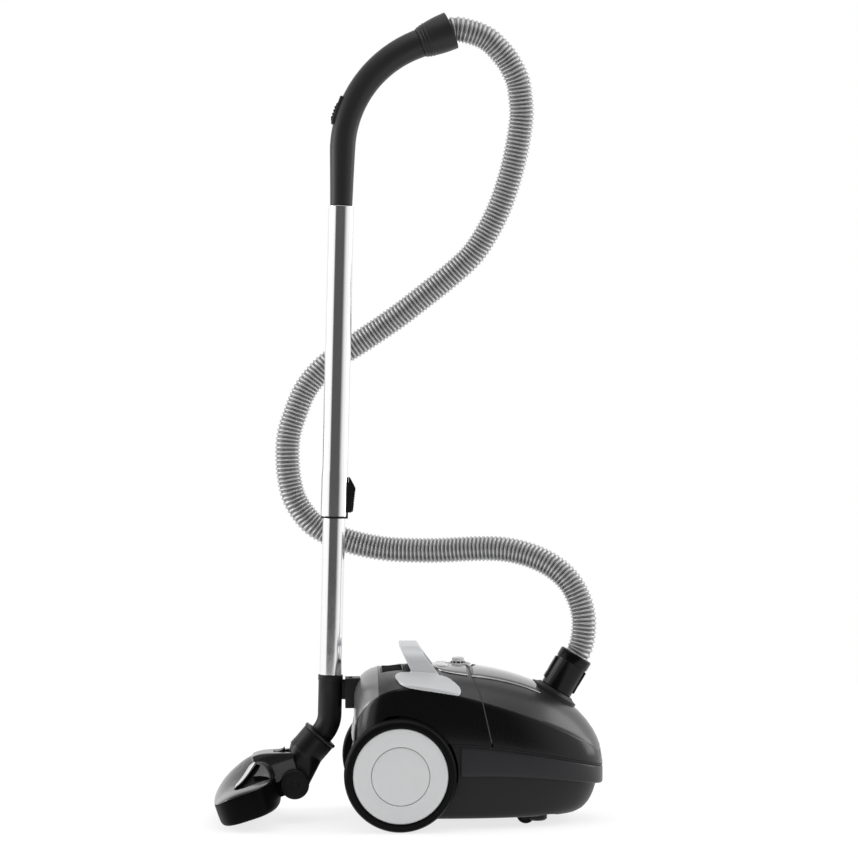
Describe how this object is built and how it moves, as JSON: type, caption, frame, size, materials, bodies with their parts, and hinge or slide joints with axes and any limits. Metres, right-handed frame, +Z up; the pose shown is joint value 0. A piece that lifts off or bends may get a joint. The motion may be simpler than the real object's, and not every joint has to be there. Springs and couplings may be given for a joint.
{
  "type": "canister vacuum cleaner",
  "caption": "Canister vacuum cleaner with corrugated hose, curved grip, telescopic chromed wand, hinged hood, carry handle, big rear wheels and a floor head parked at the back.",
  "frame": {"origin": "on the floor, under the middle of the object's box, in the middle plane between the wheels", "axes": "+X towards the nose, +Y towards the machine's left side, +Z up"},
  "size_m": [0.5459, 0.2878, 1.1369],
  "materials": {
    "charcoal_plastic": "satin",
    "grey_plastic": "satin",
    "black_gloss": "gloss",
    "black_plastic": "satin",
    "metallic_grey": "metallic lacquer",
    "silver_plastic": "metallic lacquer",
    "smoked_plastic": "gloss",
    "pale_plastic": "gloss",
    "tyre_rubber": "matt",
    "soft_rubber": "matt",
    "chrome_tube": "polished",
    "steel": "brushed",
    "hose_plastic": "gloss",
    "filter_fleece": "fleece",
    "bag_paper": "paper",
    "card": "card",
    "board_green": "printed board"
  },
  "bodies": {
    "canister": {"lower_housing": "charcoal_plastic", "bumper": "grey_plastic", "rear_shell": "black_gloss", "top_cover": "metallic_grey", "rear_cover": "smoked_plastic", "exhaust_grille": "black_plastic", "carry_handle": "silver_plastic", "park_bracket": "charcoal_plastic", "control_dish": "metallic_grey", "cord_outlet": "black_plastic", "rear_axles": "steel", "bulkhead": "charcoal_plastic", "motor_filter": "filter_fleece", "motor_case": "charcoal_plastic", "motor_mounts": "soft_rubber", "dust_bag": "bag_paper", "bag_holder": "card", "reel_bracket": "charcoal_plastic", "control_board": "board_green", "exhaust_filter": "filter_fleece", "hose_lower": "hose_plastic", "hose_upper": "hose_plastic"},
    "hood": {"hood_shell": "black_gloss", "hood_top": "metallic_grey", "hood_inlay": "metallic_grey", "port_collar": "charcoal_plastic"},
    "hood_latch": {"hood_latch": "metallic_grey"},
    "suction_knob": {"suction_knob": "metallic_grey"},
    "power_button": {"power_button": "pale_plastic"},
    "rewind_button": {"rewind_button": "pale_plastic"},
    "left_wheel": {"wheel_left": "silver_plastic", "tyre_left": "tyre_rubber", "wheel_cap_left": "silver_plastic"},
    "right_wheel": {"wheel_right": "silver_plastic", "tyre_right": "tyre_rubber", "wheel_cap_right": "silver_plastic"},
    "left_castor": {"castor_fork_left": "black_plastic"},
    "left_castor_wheel": {"castor_wheel_left": "soft_rubber"},
    "right_castor": {"castor_fork_right": "black_plastic"},
    "right_castor_wheel": {"castor_wheel_right": "soft_rubber"},
    "impeller": {"impeller": "steel"},
    "cord_reel": {"cord_reel": "black_plastic"},
    "connector": {"hose_connector": "black_gloss"},
    "connector_key_rear": {"connector_key_rear": "black_plastic"},
    "connector_key_front": {"connector_key_front": "black_plastic"},
    "wand_upper": {"grip": "black_plastic", "upper_tube": "chrome_tube", "lock_sleeve": "black_plastic"},
    "hose_cuff": {"hose_cuff": "black_plastic"},
    "air_slider": {"air_slider": "black_plastic"},
    "lock_slider": {"lock_slider": "black_plastic"},
    "wand_lower": {"lower_tube": "chrome_tube", "neck": "black_plastic"},
    "swivel": {"swivel_collar": "black_plastic"},
    "head": {"head_cover": "charcoal_plastic", "head_sole": "black_plastic", "sole_plate": "steel"},
    "head_pedal": {"head_pedal": "black_plastic"},
    "bristles": {"bristle_strip": "soft_rubber"},
    "rollers": {"head_rollers": "soft_rubber"}
  },
  "joints": [
    {"name": "hood_hinge", "type": "hinge", "parent": "canister", "child": "hood", "pos_m": [0.08, 0, 0.21229], "axis": [0, -1, 0], "range_deg": [0, 60], "deforming": ["hose_lower"]},
    {"name": "hood_latch_slide", "type": "slide", "parent": "hood", "child": "hood_latch", "axis": [-1, 0, 0], "range_m": [0, 0.003], "stiffness_N_per_m": 400, "springref_m": -0.004},
    {"name": "suction_knob_turn", "type": "hinge", "parent": "canister", "child": "suction_knob", "pos_m": [0.069, 0, 0.217], "axis": [0, 0, 1], "range_deg": [-135, 135]},
    {"name": "power_button_press", "type": "slide", "parent": "canister", "child": "power_button", "axis": [0, 0, -1], "range_m": [0, 0.0035], "stiffness_N_per_m": 400, "springref_m": -0.004},
    {"name": "rewind_button_press", "type": "slide", "parent": "canister", "child": "rewind_button", "axis": [0, 0, -1], "range_m": [0, 0.0035], "stiffness_N_per_m": 400, "springref_m": -0.004},
    {"name": "left_wheel_spin", "type": "hinge", "parent": "canister", "child": "left_wheel", "pos_m": [-0.016, 0.128, 0.077], "axis": [0, 1, 0], "continuous": true},
    {"name": "right_wheel_spin", "type": "hinge", "parent": "canister", "child": "right_wheel", "pos_m": [-0.016, -0.128, 0.077], "axis": [0, 1, 0], "continuous": true},
    {"name": "left_castor_turn", "type": "hinge", "parent": "canister", "child": "left_castor", "pos_m": [0.177, 0.048, 0.03], "axis": [0, 0, 1], "continuous": true},
    {"name": "left_castor_wheel_spin", "type": "hinge", "parent": "left_castor", "child": "left_castor_wheel", "pos_m": [0.161, 0.048, 0.013], "axis": [0, 1, 0], "continuous": true},
    {"name": "right_castor_turn", "type": "hinge", "parent": "canister", "child": "right_castor", "pos_m": [0.177, -0.048, 0.03], "axis": [0, 0, 1], "continuous": true},
    {"name": "right_castor_wheel_spin", "type": "hinge", "parent": "right_castor", "child": "right_castor_wheel", "pos_m": [0.161, -0.048, 0.013], "axis": [0, 1, 0], "continuous": true},
    {"name": "impeller_spin", "type": "hinge", "parent": "canister", "child": "impeller", "pos_m": [0.06, 0, 0.088], "axis": [1, 0, 0], "continuous": true},
    {"name": "cord_reel_spin", "type": "hinge", "parent": "canister", "child": "cord_reel", "pos_m": [-0.031, 0, 0.092], "axis": [1, 0, 0], "continuous": true},
    {"name": "connector_swivel", "type": "hinge", "parent": "hood", "child": "connector", "pos_m": [0.204, 0, 0.17623], "axis": [0.515, 0, 0.8572], "continuous": true},
    {"name": "connector_key_rear_press", "type": "slide", "parent": "connector", "child": "connector_key_rear", "axis": [0.8572, 0, -0.515], "range_m": [0, 0.002], "stiffness_N_per_m": 500, "springref_m": -0.003},
    {"name": "connector_key_front_press", "type": "slide", "parent": "connector", "child": "connector_key_front", "axis": [-0.8572, 0, 0.515], "range_m": [0, 0.002], "stiffness_N_per_m": 500, "springref_m": -0.003},
    {"name": "wand_telescope", "type": "slide", "parent": "canister", "child": "wand_upper", "axis": [0.0227, 0, 0.9997], "range_m": [-0.15, 0.11], "deforming": ["hose_upper"]},
    {"name": "hose_cuff_swivel", "type": "hinge", "parent": "wand_upper", "child": "hose_cuff", "pos_m": [0.00742, 0, 1.09028], "axis": [0.9225, 0, 0.3859], "continuous": true},
    {"name": "air_slider_slide", "type": "slide", "parent": "wand_upper", "child": "air_slider", "axis": [0.3305, 0, 0.9438], "range_m": [0, 0.007]},
    {"name": "lock_slider_slide", "type": "slide", "parent": "wand_upper", "child": "lock_slider", "axis": [-0.0227, 0, -0.9997], "range_m": [0, 0.006], "stiffness_N_per_m": 300, "springref_m": -0.003},
    {"name": "wand_parking_lift", "type": "slide", "parent": "canister", "child": "wand_lower", "axis": [0.0227, 0, 0.9997], "range_m": [0, 0.045]},
    {"name": "head_swivel", "type": "hinge", "parent": "wand_lower", "child": "swivel", "pos_m": [-0.12213, 0, 0.12226], "axis": [-0.6494, 0, -0.7604], "range_deg": [-20, 20]},
    {"name": "head_pitch", "type": "hinge", "parent": "swivel", "child": "head", "pos_m": [-0.1605, 0, 0.054], "axis": [0, 1, 0], "range_deg": [-25, 3]},
    {"name": "head_pedal_rock", "type": "hinge", "parent": "head", "child": "head_pedal", "pos_m": [-0.18116, 0, 0.09492], "axis": [0, 1, 0], "range_deg": [0, 12.1]},
    {"name": "bristle_drop", "type": "slide", "parent": "head", "child": "bristles", "axis": [0.309, 0, -0.9511], "range_m": [0, 0.004]},
    {"name": "head_rollers_spin", "type": "hinge", "parent": "head", "child": "rollers", "pos_m": [-0.1605, 0, 0.054], "axis": [0, 1, 0], "continuous": true}
  ],
  "couplings": [
    {"joint": "head_pedal_rock", "follows": "bristle_drop", "rad_per_m": 52.36}
  ]
}
